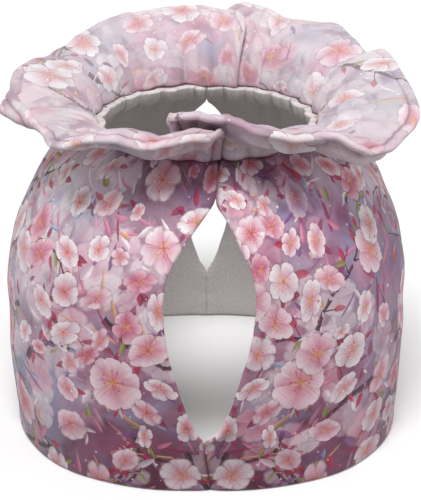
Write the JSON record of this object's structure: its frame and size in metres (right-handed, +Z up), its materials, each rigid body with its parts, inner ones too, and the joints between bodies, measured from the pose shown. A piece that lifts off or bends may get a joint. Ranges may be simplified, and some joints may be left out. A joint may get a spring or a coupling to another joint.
{
  "type": "tea cosy",
  "caption": "Soft padded cloth tea cosy: barrel body with open slits for a teapot's spout and handle, a drawn-in neck and a wide wavy ruffle round the open top.",
  "frame": {"origin": "centre of the hem on the surface the cosy stands on", "axes": "+Z up, the spout slit faces -Y and the handle slit faces +Y, +X to the right seen from the front"},
  "size_m": [0.1764, 0.1805, 0.163],
  "materials": {
    "body_cloth": "soft matt printed padded cloth, pink blossom print outside, plain off-white reverse",
    "ruffle_cloth": "soft matt printed cloth, paler blossom print on both faces"
  },
  "bodies": {
    "root": {"panel_left": "body_cloth", "panel_right": "body_cloth", "ruffle_left": "ruffle_cloth", "ruffle_right": "ruffle_cloth"}
  },
  "joints": []
}
